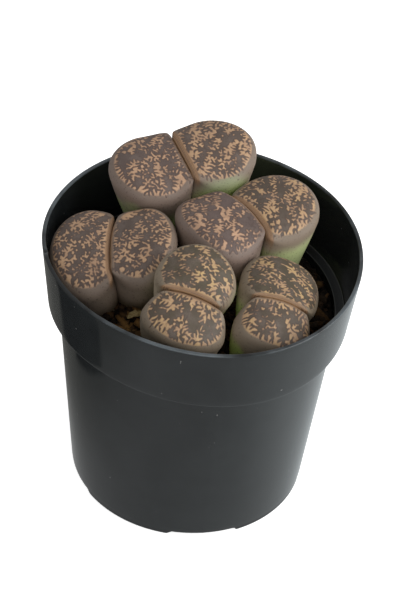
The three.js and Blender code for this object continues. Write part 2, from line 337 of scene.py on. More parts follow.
# %% What the plastic mirrors
room = Finish("mirrored_room")
x, y = room.axis("X"), room.axis("Y")
glow = room.mix((0.46, 0.47, 0.475), (0.66, 0.71, 0.725), room.step(x + 0.5 * y, -0.04, 0.045))
glow = room.mix(glow, (0.13, 0.13, 0.12), room.step(0.5 * y - x, 0.0, 0.065))
mirrored = level_sheet("mirrored_room", -1)
mirrored.data.materials.append(room.surface(
    Base_Color=(0, 0, 0, 1),
    Emission_Color=glow,
    Emission_Strength=1.0,
))
mirrored.visible_camera = False

# %% The black card
CARD_X, CARD_Y, CARD_TOP = -57, (-29, 7), 31
black = Finish("black_card")
card = make_piece(
    "black_card",
    np.array([[CARD_X, y, z] for y, z in zip(CARD_Y + CARD_Y[::-1], (0, 0, CARD_TOP, CARD_TOP))]),
    [np.array([[0, 1, 2, 3]])],
)
card.data.materials.append(black.surface(
    Base_Color=black.mix((0.01, 0.01, 0.012), (0.02, 0.02, 0.022), black.noise(6, 3)),
    Roughness=0.9,
))
card.visible_camera = False

# %% [markdown]
# ## Pot
#
# The real pot is moulded in one piece: a thin tapered wall, a deep band under the
# rim that steps outwards, four low feet and drain holes in the base. Its section
# is drawn once, the corners are rounded, and it is carried round the axis. The
# outline is not quite round: the soft pot is squeezed a little, in three waves.

# %% The pot's sizes and its squeezed outline
RIM_RADIUS, POT_HEIGHT, BAND_HEIGHT = 35.0, 62.9, 16.1
BAND_FOOT_RADIUS, NECK_RADIUS, BASE_RADIUS = 33.2, 30.9, 26.3
WALL, FLOOR, FOOT_HEIGHT, FOOT_WIDTH, BASE_ROUND = 0.9, 1.2, 1.0, 2.6, 1.1
BAND_FOOT = POT_HEIGHT - BAND_HEIGHT
FOOT_INNER, FOOT_OUTER = BASE_RADIUS - 0.4 - FOOT_WIDTH, BASE_RADIUS - 0.45
# Feet from angle to angle, drain holes, and the squeeze's waves: how many round
# the pot, their share of the radius, and where one peaks.
FEET = ((36, 85), (117, 166), (216, 265), (298, 347))
DRAINS, DRAIN_RADIUS, DRAIN_CENTRE = (11, 101, 191, 281), 3.0, 17.0
SQUEEZE = ((2, 0.0254, 122.4), (3, 0.0097, 57.8), (4, 0.0055, 21.5))


def squeeze(angle, z):
    """How far the outline moves out, as a factor on its radius: one plus three
    cosine waves round the pot, which grow from the base to the rim."""
    low = np.clip((z - FOOT_HEIGHT) / (BAND_FOOT - FOOT_HEIGHT), 0, 1)
    high = np.clip((z - BAND_FOOT) / BAND_HEIGHT, 0, None)
    waves = sum(share * np.cos(n * (angle - math.radians(at))) for n, share, at in SQUEEZE)
    return 1 + (0.88 * low + 0.12 * high) * waves


around = RIM_RADIUS * squeeze(np.linspace(0, 2 * np.pi, 361), POT_HEIGHT)
print("rim radius from", around.min().round(1), "to", around.max().round(1), "mm")

# %% A section with rounded corners
SPACING, CORNER_STEPS = 1.6, 6


def rounded_section(corners):
    """A polyline through (radius, height, rounding) corners. Each corner is
    replaced by a quadratic curve that leaves its two sides at the rounding's
    distance, and straight runs get points at about the spacing."""
    points = np.array([corner[:2] for corner in corners], float)
    cuts = np.array([corner[2] for corner in corners])
    steps = np.diff(points, axis=0)
    lengths = np.hypot(*steps.T)
    along = steps / lengths[:, None]
    line = [points[:1]]
    for i in range(1, len(points)):
        start = line[-1][-1]
        end = points[i] - along[i - 1] * cuts[i]
        count = max(int(np.hypot(*(end - start)) / SPACING), 1)
        t = np.linspace(0, 1, count + 1)[1:, None]
        line.append(start * (1 - t) + end * t)
        if cuts[i] > 0:
            t = np.linspace(0, 1, CORNER_STEPS + 1)[1:, None]
            leave = points[i] + along[i] * cuts[i]
            line.append(end * (1 - t) ** 2 + 2 * points[i] * t * (1 - t) + leave * t ** 2)
    return np.concatenate(line)


section = rounded_section([
    (0.0, FOOT_HEIGHT, 0),
    (FOOT_INNER, FOOT_HEIGHT, 0),
    (FOOT_INNER + 0.05, FOOT_HEIGHT, 0),
    (FOOT_OUTER, FOOT_HEIGHT, 0),
    (BASE_RADIUS, FOOT_HEIGHT + 0.1, 0.08),
    (BASE_RADIUS + 0.15, FOOT_HEIGHT + BASE_ROUND, 0.4),
    (NECK_RADIUS, BAND_FOOT, 0.25),
    (BAND_FOOT_RADIUS, BAND_FOOT, 0.4),
    (RIM_RADIUS, POT_HEIGHT, 0.32),
    (RIM_RADIUS - WALL, POT_HEIGHT, 0.3),
    (BAND_FOOT_RADIUS - WALL, BAND_FOOT + WALL, 0.35),
    (NECK_RADIUS - WALL, BAND_FOOT + WALL, 0.3),
    (BASE_RADIUS - WALL, FOOT_HEIGHT + 2 * BASE_ROUND, 0.6),
    (BASE_RADIUS - WALL - BASE_ROUND, FOOT_HEIGHT + FLOOR, 0.6),
    (0.0, FOOT_HEIGHT + FLOOR, 0),
])
print("pot section", len(section), "points")

# %% The pot's surface
POT_COLUMNS = 288
SEAM_AT, SEAM_WIDTH, SEAM_HEIGHT = 281.5, 0.55, 0.05
NICK_AT, NICK_WIDTH, NICK_IN, NICK_DOWN = 191, 1.1, 0.3, 0.5


def footing(degrees, radius, z):
    """How far the base is let down to the ground: all the way under a foot, with
    steep sides, and only for the underside's outer rings."""
    within = np.max([np.minimum(degrees - start, end - degrees) for start, end in FEET], axis=0)
    under = (z < FOOT_HEIGHT + 0.2) & (radius > FOOT_INNER + 0.02)
    share = np.clip(within / 1.3 + 0.5, 0, 1) * np.clip((FOOT_HEIGHT + 0.2 - z) / 0.15, 0, 1)
    return FOOT_HEIGHT * share * under


def pot_surface():
    """The section carried round the axis: radius times the squeeze at each angle
    and height. The base has its feet, the wall a faint seam where the two
    halves of the mould met, and the rim one nick."""
    angle = full_turn(POT_COLUMNS)
    degrees = np.degrees(angle)[None, :]
    radius, z = [section[1:-1, axis][:, None] * np.ones_like(angle) for axis in (0, 1)]
    z = z - footing(degrees, radius, z)
    rows = len(section) - 2
    outside = np.arange(rows) < np.argmax(section[1:-1, 1])
    seam = np.exp(-(((degrees - SEAM_AT + 180) % 360 - 180) / SEAM_WIDTH) ** 2) * outside[:, None]
    near_rim = np.clip((z - POT_HEIGHT + 1.2) / 0.8, 0, 1)
    nick = np.exp(-((degrees - NICK_AT) / NICK_WIDTH) ** 2) * near_rim
    radius = radius * squeeze(angle[None, :], z) + SEAM_HEIGHT * seam - NICK_IN * nick
    z = z - NICK_DOWN * nick
    points = np.stack([*polar(radius, angle), z], axis=-1).reshape(-1, 3)
    points = np.concatenate([points, [[0, 0, section[0, 1]], [0, 0, section[-1, 1]]]])
    return points + AXIS, closed_tube(rows, POT_COLUMNS)


pot = make_piece("nursery_pot", *pot_surface())

# %% [markdown]
# A carried section can't give the drain holes. Four short cylinders are cut out
# of the base with a Boolean, which is then applied, so that the piece is again
# one plain closed mesh.

# %% Drain holes
def post(x, y, radius, low, high, columns=40):
    """A closed upright cylinder: two rings and two poles."""
    ring = np.stack(polar(radius, full_turn(columns)), axis=-1) + (x, y)
    rings = [np.column_stack([ring, np.full(columns, z)]) for z in (low, high)]
    points = np.concatenate([*rings, [[x, y, low], [x, y, high]]])
    return points, closed_tube(2, columns)


def cut_out(piece, cutters):
    """Cuts other meshes out of a piece, applies the cuts and removes the cutters."""
    for cutter in cutters:
        cut = piece.modifiers.new("cut", "BOOLEAN")
        cut.operation = "DIFFERENCE"
        cut.solver = "MANIFOLD"
        cut.object = cutter
    bpy.context.view_layer.update()
    evaluated = piece.evaluated_get(bpy.context.evaluated_depsgraph_get())
    piece.data = bpy.data.meshes.new_from_object(evaluated)
    piece.modifiers.clear()
    for cutter in cutters:
        bpy.data.objects.remove(cutter)
    piece.data.shade_smooth()
    piece.data.set_sharp_from_angle(angle=math.radians(40))
    print(piece.name, "after its cuts", len(piece.data.polygons), "faces")


drains = []
for number, angle in enumerate(np.radians(DRAINS)):
    at = polar(DRAIN_CENTRE, angle) + AXIS[:2]
    drains.append(make_piece(f"drain_{number}", *post(*at, DRAIN_RADIUS, -2, 6)))
cut_out(pot, drains)

# %% [markdown]
# What the photograph shows of the plastic is nearly all reflection, so its colour
# stays very dark and the interest is in the roughness: a fine grain, smoother and
# rougher patches from handling, a few scratches and pale dust. The rim's top edge
# gets a painted highlight, a paler blue-grey in its colour.

# %% Satin black plastic
plastic = Finish("satin_black_plastic")
grain = plastic.noise(0.35, 2)
patches = plastic.noise(9, 4, 0.6)
scratches = plastic.step(plastic.noise(2.2, 3, 0.6, plastic.place((1, 1, 6))), 0.66, 0.70)
dust = plastic.step(plastic.noise(1.1, 1), 0.785, 0.83)
# Painted highlight: the rim's top edge is paler blue-grey in the base colour, in patches.
painted_rim_highlight = plastic.step(plastic.noise(14, 3), 0.35, 0.65)
painted_rim_highlight = painted_rim_highlight * plastic.step(plastic.axis("Z"), 0.0624, 0.0628)
pot_plastic = plastic.surface(
    Base_Color=plastic.layers(
        plastic.mix((0.0060, 0.0070, 0.0074), (0.0155, 0.0176, 0.0184), patches),
        ((0.12, 0.14, 0.155), painted_rim_highlight * 0.8),
        ((0.20, 0.20, 0.19), dust * 0.5),
    ),
    Roughness=0.05 + 0.13 * patches + 0.08 * scratches + 0.25 * dust,
    Normal=plastic.bump(0.5 * grain + 0.5 * patches, 0.008),
    Specular_IOR_Level=0.40,
)
stand_for(pot, "pot", pot_plastic)

# %% [markdown]
# ## Soft noise in numpy
#
# Shapes need noise too, and it has to be the same on each run. Sums of sine waves
# in random directions are smooth everywhere and cost nothing; random numbers
# blurred in the frequency domain give clouds on a grid.

# %% Waves and clouds
def ripples(points, width, seed, waves=9):
    """Smooth noise from about -1 to 1: a sum of sine waves with random directions
    and phases, whose length is about the given width in mm."""
    random = np.random.default_rng(seed)
    direction = random.standard_normal((waves, 3))
    direction /= np.linalg.norm(direction, axis=1)[:, None]
    pace = 2 * np.pi / (width * random.uniform(0.7, 1.6, waves))
    phase = random.uniform(0, 2 * np.pi, waves)
    sines = np.sin(points @ (direction * pace[:, None]).T + phase)
    return sines.sum(axis=-1) / math.sqrt(2 * waves)


# A map of one leaf's face: the side of a cell in mm, and cells from edge to edge.
PITCH, CELLS = 0.12, 208
axis_mm = (np.arange(CELLS) - CELLS / 2) * PITCH
MAP_X, MAP_Y = np.meshgrid(axis_mm, axis_mm, indexing="ij")
pulse = np.fft.fftfreq(CELLS, PITCH) * 2 * np.pi
PULSE_X, PULSE_Y = np.meshgrid(pulse, pulse, indexing="ij")


def blurred(field, width):
    """A field on the map grid, blurred with a Gaussian of the given width in mm."""
    gaussian = np.exp(-0.5 * (PULSE_X ** 2 + PULSE_Y ** 2) * width ** 2)
    return np.real(np.fft.ifft2(np.fft.fft2(field) * gaussian))


def cloud(random, width):
    """Random clouds about this many mm across, with mean 0 and spread 1."""
    field = blurred(random.standard_normal((CELLS, CELLS)), width / 6)
    return (field - field.mean()) / field.std()


def patches_apart(random, apart):
    """Random patches about this many mm from one to the next, as a narrow blur
    less a wide one. Mean 0 and spread 1."""
    field = random.standard_normal((CELLS, CELLS))
    field = blurred(field, 0.16 * apart) - blurred(field, 0.32 * apart)
    return (field - field.mean()) / field.std()


def look_up(field, x, y):
    """The value of a map field at any place, blended from the four nearest cells."""
    u = np.clip(x / PITCH + CELLS / 2, 0, CELLS - 1.001)
    v = np.clip(y / PITCH + CELLS / 2, 0, CELLS - 1.001)
    i, j = u.astype(int), v.astype(int)
    a, b = u - i, v - j
    low = field[i, j] * (1 - a) + field[i + 1, j] * a
    high = field[i, j + 1] * (1 - a) + field[i + 1, j + 1] * a
    return low * (1 - b) + high * b


# %% [markdown]
# ## The plants' sizes
#
# Each plant is two leaves, grown together below a slit. The numbers are those of
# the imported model, so each plant stands where its solid stands: its place, turn
# and lean, how much its slit bends, how square its leaves are beside the slit at
# its far and near ends, and for each leaf its reach from the slit, half length,
# squareness, lift, fall, slide along the slit, cheek depth and taper. Five more
# numbers are for the looks: how much tan its face has, how long the fingers
# along its edge are, how olive its windows are, how far down its side the green
# begins, and how wide the bare brown lip along its slit is.

# %% Five plants
SHAPE = ("reach", "half", "square", "lift", "fall", "slide", "cheek", "taper")
LOOKS = ("tan", "fingers", "olive", "green", "lip")
PLANTS = {
    "lithops_back": dict(
        at=(-6.4, 20.9, 71), turn=27, lean=(10, -5), bend=-0.3, ends=(8, 13), seed=11,
        left=((16.7, 9.9, 1.9, -0.5, -0.05, 0.2, 3.5, 0.27), (0.05, 1.5, 0.1, 2.0, 0.3)),
        right=((16.9, 9.8, 1.9, 0.4, 0, -0.3, 3.5, 0.21), (0.33, 1.0, 0.35, 0.6, 1.1)),
    ),
    "lithops_right": dict(
        at=(7.8, 6.3, 67.2), turn=41, lean=(6, -1), bend=1.8, ends=(6, 13), seed=23,
        left=((13.6, 10.3, 2.5, 0.4, -0.1, 1, 3.7, 0.2), (0.1, 0.9, 0.0, 5, 0.3)),
        right=((17.7, 9.9, 2.1, 0.4, -0.1, -1.1, 3.5, 0.2), (0.22, 0.9, 0.6, -1.5, 1.4)),
    ),
    "lithops_left": dict(
        at=(-19, -2.7, 62.6), turn=2, lean=(12, -11), bend=-1, ends=(4.5, 13), seed=37,
        left=((14.6, 12, 1.95, 0.2, -0.1, 0.4, 3.9, 0.32), (0.14, 1.2, 0.3, 9, 1.1)),
        right=((13.2, 10.7, 1.9, 0.7, -0.1, 1, 3.8, 0.32), (0.14, 1.1, 0.3, 9, 0.4)),
    ),
    "lithops_front_left": dict(
        at=(-0.8, -21, 63.9), turn=79, lean=(13, -19), bend=1.6, ends=(6, 6.5), seed=41,
        left=((10.6, 9.2, 1.9, 0.4, 0, 0.7, 3.5, 0.25), (-0.05, 1.6, 0.8, 4, 0.5)),
        right=((14.3, 8.7, 1.9, 1, -0.1, 1.6, 3.8, 0.35), (-0.12, 0.9, 1.0, 3, 0.9)),
    ),
    "lithops_front_right": dict(
        at=(17.9, -18.4, 62.4), turn=87, lean=(17, -10), bend=2.4, ends=(6, 5.5), seed=59,
        left=((9.6, 8.4, 2.4, -0.2, 0.08, 0.6, 4.1, 0.27), (-0.05, 1.5, 0.7, 6, 0.4)),
        right=((16.3, 8.8, 2.6, 0.2, 0.08, 0.8, 3.5, 0.35), (-0.16, 0.9, 1.0, 4, 0.9)),
    ),
}
print(len(PLANTS), "plants")

# %% [markdown]
# ## The marking of a leaf face
#
# The windows of the real leaf are dark, and islands of tan skin lie in them like
# coral: wherever dark meets tan, short even fingers reach across. A threshold on
# noise gives blobs without fingers. The even fingers come from how such skins
# grow, each spot feeding its near surroundings and starving those further off.
# So the marking is grown: a slow map says where dark or tan is favoured, and
# ridges that run across the borders of that map feed themselves, round by round.

# %% What feeds the marking
HEADINGS = np.arange(6) * np.pi / 6
# From one finger to the next in mm, how much longer than wide the feeding is, and
# how far it feeds and starves, as shares of that distance.
FINGER, DRAWN_OUT, FEEDS, STARVES = 0.60, 2.3, 0.18, 0.34

# For each heading, how strongly every wave on the map feeds itself: a narrow
# Gaussian less a wide one, both drawn out along the heading.
heading = HEADINGS[:, None, None]
along = PULSE_X * np.cos(heading) + PULSE_Y * np.sin(heading)
across = PULSE_Y * np.cos(heading) - PULSE_X * np.sin(heading)
near = across ** 2 + (DRAWN_OUT * along) ** 2
far = across ** 2 + (0.6 + 0.4 * DRAWN_OUT) * along ** 2
fed = np.exp(-0.5 * (FEEDS * FINGER) ** 2 * near) - np.exp(-0.5 * (STARVES * FINGER) ** 2 * far)
FEEDING = fed / fed.max(axis=(1, 2), keepdims=True)
print("marking map", CELLS, "cells of", PITCH, "mm, fingers", FINGER, "mm apart")

# %% Growing the marking
# As shares of a leaf: where its face ends, how much it narrows towards the slit,
# and where its middle is. The map's middle is MAP_SHIFT mm from the slit.
FACE_EDGE, WAIST, MIDDLE = 0.895, 0.27, 0.42
MAP_SHIFT, ROUNDS = 7.0, 12


def squareness(leaf, out, along):
    """The power of the outline's superellipse: the leaf's own away from the slit,
    and towards the slit one for its far end and one for its near end."""
    towards = np.where(leaf["side"] * along > 0, leaf["far"], leaf["near"])
    return np.where(out >= 0, leaf["square"], towards)


def grown(favour, random):
    """Ridges grown on a map of what is favoured, from -1, dark, to 1, tan. They
    run along the slope of that map, so across its borders, and feed themselves."""
    slope_x, slope_y = np.gradient(blurred(favour, 0.28))
    heading = np.arctan2(slope_y, slope_x) + 0.35 * cloud(random, 2.0)
    weights = np.clip(np.cos(2 * (heading - HEADINGS[:, None, None])), 0, 1) ** 2
    weights /= weights.sum(axis=0)
    field = 0.3 * random.standard_normal((CELLS, CELLS))
    for _ in range(ROUNDS):
        fed = np.real(np.fft.ifft2(np.fft.fft2(field) * FEEDING))
        field = np.tanh(3.0 * (weights * fed).sum(axis=0) + favour)
    return blurred(field, 0.09)


def marking(leaf, seed):
    """The marking on a map of the leaf's face. What is favoured: patches drawn out
    from the heart of the face, rising to tan along its edge."""
    random = np.random.default_rng(seed)
    middle = MIDDLE * leaf["reach"]
    out = MAP_X + MAP_SHIFT - middle
    out = np.where(out > 0, out / (leaf["reach"] - middle), out / middle)
    power = squareness(leaf, out, MAP_Y)
    inward = np.clip(-out, 0, 1)
    beside = np.abs(MAP_Y / leaf["half"]) / (1 - WAIST * inward ** 2)
    ring = (np.abs(out) ** power + beside ** power) ** (1 / power)
    heart = (MIDDLE + 0.08 * random.standard_normal()) * leaf["reach"] - MAP_SHIFT
    from_x, from_y = MAP_X - heart, MAP_Y - 0.15 * leaf["half"] * random.standard_normal()
    distance = np.hypot(from_x, from_y) + 1e-6
    pull = np.where(distance < 2, 1, (2 + 0.62 * (distance - 2)) / distance)
    wander = 0.5 * cloud(random, 2.0)
    islands = patches_apart(random, 4.0) + 0.5 * patches_apart(random, 1.9)
    islands = look_up(islands, heart + from_x * pull + wander, from_y * pull + wander)
    on_face = ring < FACE_EDGE
    islands = (islands - islands[on_face].mean()) / islands[on_face].std()
    from_edge = (ring - FACE_EDGE - 0.1 * inward ** 4) * leaf["half"]
    from_edge = np.maximum(from_edge, leaf["lip"] - MAP_X - MAP_SHIFT) + 0.25 * cloud(random, 1.8)
    rise = np.clip(1 + from_edge / (leaf["fingers"] * (1 - 0.5 * inward ** 4)), 0, 1)
    favour = 1.4 * (islands - 0.60 + leaf["tan"]) * (1 - rise) + 1.9 * rise ** 3
    return grown(np.where(from_edge > 0, 2.5, np.clip(favour, -1.9, 1.0)), random)


# %% [markdown]
# ## A leaf's surface
#
# For its marking the face needs close points everywhere. A polar grid crowds them
# in the middle, so the face is a square net pulled round: its square rings become
# the leaf's outlines. The side carries the last one down into the soil to a pole.

# %% The net of a leaf
RINGS, SIDE_ROWS = 70, 18
COLUMNS = 8 * RINGS


def face_net():
    """The square net: for each point its ring from 0 to 1, the larger of its two
    coordinates, and its angle, which turns evenly along each square ring; then
    the quads, and the outermost ring in turning order."""
    step = np.arange(-RINGS, RINGS + 1)
    a, b = [array.ravel() for array in np.meshgrid(step, step, indexing="ij")]
    size = np.maximum(np.abs(a), np.abs(b))
    upright = np.abs(a) >= np.abs(b)
    flat = np.where(upright, b, a) / np.maximum(size, 1) * np.pi / 4
    angle = np.where(
        upright,
        np.where(a >= 0, flat, np.pi - flat),
        np.where(b >= 0, np.pi / 2 - flat, flat - np.pi / 2),
    )
    width = 2 * RINGS + 1
    corner = np.arange(width * width).reshape(width, width)[:-1, :-1].ravel()
    quads = np.stack([corner, corner + width, corner + width + 1, corner + 1], axis=-1)
    outer = np.flatnonzero(size == RINGS)
    rim = outer[np.argsort((angle[outer] + np.pi / 4) % (2 * np.pi))]
    return size / RINGS, angle, quads, rim


NET_RING, NET_ANGLE, NET_QUADS, NET_RIM = face_net()
# All points of a leaf: the net, the rows of the side and their one pole. Each has
# its angle, and how far down the side it is, from 0 to 1.
FACE_COUNT = len(NET_RING)
LEAF_COUNT = FACE_COUNT + (SIDE_ROWS - 1) * COLUMNS + 1
LEAF_ANGLE = np.concatenate([NET_ANGLE, np.tile(NET_ANGLE[NET_RIM], SIDE_ROWS)])[:LEAF_COUNT]
down_side = np.repeat(np.arange(1, SIDE_ROWS + 1) / SIDE_ROWS, COLUMNS)
LEAF_DOWN = np.concatenate([0 * NET_RING, down_side])[:LEAF_COUNT]
print("leaf net", FACE_COUNT, "points on the face,", LEAF_COUNT - FACE_COUNT, "on the side")

# %% The shape of a leaf
# Half the slit's width, its depth, how far the leaves cross below it, how deep a
# plant stands in the soil, and the soil's height at the wall, all in mm. A leaf's
# taper is what it loses of its width by TAPER_DEPTH.
SLIT_HALF, SLIT_DEPTH, FUSED, BURIED, SOIL_EDGE = 0.08, 3.0, 0.5, 8.0, 45.6
DOME_POWER, TAPER_DEPTH = 2.7, 20


def even_spread(leaf):
    """Turns a ring number into a share of the leaf's width, so that the rings are
    evenly spaced over the domed face: lengths are added up along the dome."""
    spread = np.sin(np.linspace(0, np.pi / 2, 400))
    dome = leaf["cheek"] * (1 - (1 - spread ** DOME_POWER) ** (1 / DOME_POWER))
    pieces = np.hypot(np.diff(spread * leaf["half"]), np.diff(dome))
    length = np.concatenate([[0], np.cumsum(pieces)])
    return np.interp(NET_RING, length / length[-1], spread)


def face_outline(leaf, spread):
    """Across and along the slit: the outline, a superellipse, nearly square and a
    little narrower towards the slit, times the spread. Then how much a point is
    on the slit's side of the leaf, from 0 to 1."""
    middle = MIDDLE * leaf["reach"]
    cos, sin = np.cos(LEAF_ANGLE), np.sin(LEAF_ANGLE)
    power = squareness(leaf, cos, sin)
    radius = (np.abs(cos) ** power + np.abs(sin) ** power) ** (-1 / power)
    across = middle + spread * radius * cos * np.where(cos >= 0, leaf["reach"] - middle, middle)
    inward = np.clip(-radius * cos, 0, 1)
    along = spread * radius * sin * leaf["half"] * (1 - WAIST * inward ** 2)
    return across, along, np.clip(1.5 * inward ** 3.3, 0, 1)


def face_height(leaf, spread, across, along, inner):
    """How far the face drops from its top, another superellipse that is lower and
    squarer beside the slit, and the height: the lift less that drop, less the
    fall away from the slit and a bow along it."""
    drop = leaf["cheek"] * (1 - inner) + (0.5 + 0.6 * leaf["lip"]) * inner
    power = DOME_POWER * (1 - inner) + (7 - 2.8 * leaf["lip"]) * inner
    dropped = drop * (1 - (1 - np.minimum(spread, 1) ** power) ** (1 / power))
    bow = (along / leaf["half"]) ** 2
    return dropped, leaf["lift"] - dropped - leaf["fall"] * across - bow


def leaf_points(leaf, depth):
    """Points of one leaf before bending: across from the slit, along it, and up;
    then their places on the face's map, and their values. The side goes down from
    the face's edge, narrower with depth and blunt at its end. The slit closes
    with depth, and below it the leaves cross."""
    spread = np.concatenate([even_spread(leaf), np.ones(LEAF_COUNT - FACE_COUNT)])
    face_across, face_along, inner = face_outline(leaf, spread)
    dropped, z = face_height(leaf, spread, face_across, face_along, inner)
    fallen = LEAF_DOWN * (depth + z)
    share = fallen / TAPER_DEPTH
    scale = 1 - leaf["taper"] * share - 0.15 * share ** 2
    blunt = np.sqrt(1 - (np.clip(LEAF_DOWN * 5 - 3, 0, 2) / 2) ** 2)
    middle = MIDDLE * leaf["reach"]
    heart = 0.35 * middle
    across = heart + (face_across * scale - heart) * blunt
    along = face_along * scale * blunt
    z = z * (1 - LEAF_DOWN) - depth * LEAF_DOWN
    opening = np.clip(SLIT_HALF + SLIT_HALF / SLIT_DEPTH * z, -FUSED, SLIT_HALF)
    ends = np.clip(np.abs(along) / leaf["half"] * 4 - 2, 0, 1)
    inward = np.clip(1 - face_across / middle, 0, 1)
    across = across + (opening - 0.35 * ends) * inward * blunt
    lip = np.clip((leaf["lip"] - face_across) / 0.4 + 0.5, 0, 1) * inner
    lip = lip * np.clip(1.3 - fallen / 1.5, 0, 1)
    values = dict(spread=spread, lip=lip, sunk=dropped + fallen, across=face_across)
    return (across, along, z), (face_across, face_along), values


# %% [markdown]
# Two leaves make a plant, and cross just below the slit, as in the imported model.
# The plant is bent along its slit, straightens with depth, and is turned and
# leaned into its place.

# %% A whole plant
# In mm: the slit's bend fades out BEND_WIDTH from it, the lean is taken back below
# LEAN_FROM, and a plant whose axis is nearer than SHELTER_FROM gives shelter.
BEND_WIDTH, LEAN_FROM, LEAN_OVER, SHELTER_FROM, SHELTER_OVER = 13, 4, 26, 15.5, 5


def leaf_numbers(plant, side):
    """The numbers of one leaf by their names: side -1 is the left leaf, 1 the right."""
    shape, looks = plant["left" if side < 0 else "right"]
    far, near = plant["ends"]
    return dict(zip(SHAPE + LOOKS, shape + looks), side=side, far=far, near=near)


def bend_leaf(plant, leaf, across, along, z):
    """Puts a leaf on its side of the slit. The slit is bent into a parabola, and
    the lean is taken back with the square of the depth."""
    lean_x, lean_y = np.radians(plant["lean"])
    back = np.clip(-z - LEAN_FROM, 0, None) ** 2 / LEAN_OVER
    y = leaf["side"] * along + leaf["slide"]
    near_slit = np.clip(1 - np.abs(across) / BEND_WIDTH, 0, None)
    bend = plant["bend"] * (1 - (y / 10) ** 2) * near_slit
    x = leaf["side"] * across + bend + math.tan(lean_y) * back
    return np.stack([x, y - math.tan(lean_x) * back, z], axis=-1)


def place_plant(plant, local):
    """Turns points about Z, X and Y in the plant's own frame and moves them to
    the plant's place beside the pot's axis."""
    angles = zip("ZXY", (math.radians(plant["turn"]), *np.radians(plant["lean"])))
    about_z, about_x, about_y = [Matrix.Rotation(angle, 3, axis) for axis, angle in angles]
    return local @ np.array(about_z @ about_x @ about_y).T + plant["at"]


def shelter_at(plant, points):
    """0 for a point in the open, 1 where the axis of another plant is near."""
    others = [other["at"][:2] for other in PLANTS.values() if other is not plant]
    nearest = np.min([np.hypot(*(points[:, :2] - other).T) for other in others], axis=0)
    return np.clip((SHELTER_FROM - nearest) / SHELTER_OVER, 0, 1)


def leaf_faces(first):
    """Faces of a leaf whose points start at this number: the net of the face, the
    side's first row on the net's rim, its other rows, and the closing pole."""
    rim, row = first + NET_RIM, first + FACE_COUNT + np.arange(COLUMNS)
    upper = np.stack([rim, row, np.roll(row, -1), np.roll(rim, -1)], axis=-1)
    lower = wrap_quads(SIDE_ROWS - 1, COLUMNS, first + FACE_COUNT)[:, ::-1]
    last_row = row + (SIDE_ROWS - 2) * COLUMNS
    return [first + NET_QUADS, upper, lower, fan(first + LEAF_COUNT - 1, last_row[::-1])]


def plant_surface(plant):
    """Both leaves of a plant in the part's frame, and their values for the skin."""
    depth = plant["at"][2] - SOIL_EDGE + BURIED
    points, faces, values = [], [], []
    for number, side in enumerate((-1, 1)):
        leaf = leaf_numbers(plant, side)
        place, (map_x, map_y), on_leaf = leaf_points(leaf, depth)
        local = bend_leaf(plant, leaf, *place)
        shelter = shelter_at(plant, place_plant(plant, local))
        lumps = 0.16 * ripples(local, 9, plant["seed"] + side)
        lumps += 0.05 * ripples(local, 3.2, plant["seed"] + 2 * side)
        local[:, 2] += lumps * (LEAF_DOWN == 0) * np.clip(1.15 - on_leaf["spread"] ** 6, 0, 1)
        drawn = marking(leaf, plant["seed"] + 100 * side + 200)
        on_leaf.update(
            mark=look_up(drawn, map_x - MAP_SHIFT, map_y),
            olive=np.full(LEAF_COUNT, leaf["olive"]),
            shelter=shelter,
            green=np.clip((on_leaf["sunk"] - 3 - leaf["green"]) / 5 + 1.4 * shelter - 0.3, -1, 2),
        )
        faces += leaf_faces(number * LEAF_COUNT)
        points.append(place_plant(plant, local) + AXIS)
        values.append(on_leaf)
    joined = {key: np.concatenate([on_leaf[key] for on_leaf in values]) for key in values[0]}
    return np.concatenate(points), faces, joined


# %% [markdown]
# ## Waxy skin
#
# Dark windows, tan islands and margin, and a tan-brown lip along the slit. The
# flank has painted shade at its shoulder, is mauve-grey below it, greener lower
# down and beside a neighbour, and darker at the bottom; its green is lighter lower
# down, which is painted light. Each point brings its own values, so the skin
# follows the leaf: how far it is sunk below the top, how sheltered, green and
# olive it is, and where it lies on the face.

# %% Skin of the stone plants
skin = Finish("lithops_skin")
mark, sunk, spread, olive = [skin.value(name) for name in ("mark", "sunk", "spread", "olive")]
fine = skin.noise(0.22, 2)
speckle = skin.noise(0.45, 3, 0.6)
mottle = skin.noise(2.4, 3, 0.55)
broad = skin.noise(7, 2)
patchy = skin.step(broad, 0.3, 0.7)

# The face: dark windows, and islands that are darker and redder at their borders.
tan_area = skin.step(mark + 1.7 * (speckle - 0.5), -0.65, 0.75)
window = skin.layers(
    skin.mix((0.118, 0.084, 0.075), (0.081, 0.065, 0.041), olive),
    ((0.165, 0.128, 0.112), 0.55 * skin.step(mottle, 0.4, 0.75)),
    ((0.060, 0.038, 0.032), 0.4 * skin.step(mark, -0.98, -0.6)),
    ((0.055, 0.040, 0.036), 0.45 * skin.step(fine, 0.5, 0.72)),
)
island = skin.mix((0.53, 0.33, 0.21), (0.49, 0.335, 0.15), olive)
island = skin.mix(island, (0.36, 0.225, 0.145), 0.8 * skin.step(mottle, 0.3, 0.7))
island = skin.layers(
    skin.mix((0.26, 0.145, 0.085), island, skin.step(mark, -0.3, 0.85)),
    ((0.22, 0.14, 0.10), 0.4 * skin.step(fine, 0.5, 0.72)),
    ((0.55, 0.38, 0.26), 0.4 * skin.step(speckle, 0.5, 0.72)),
)
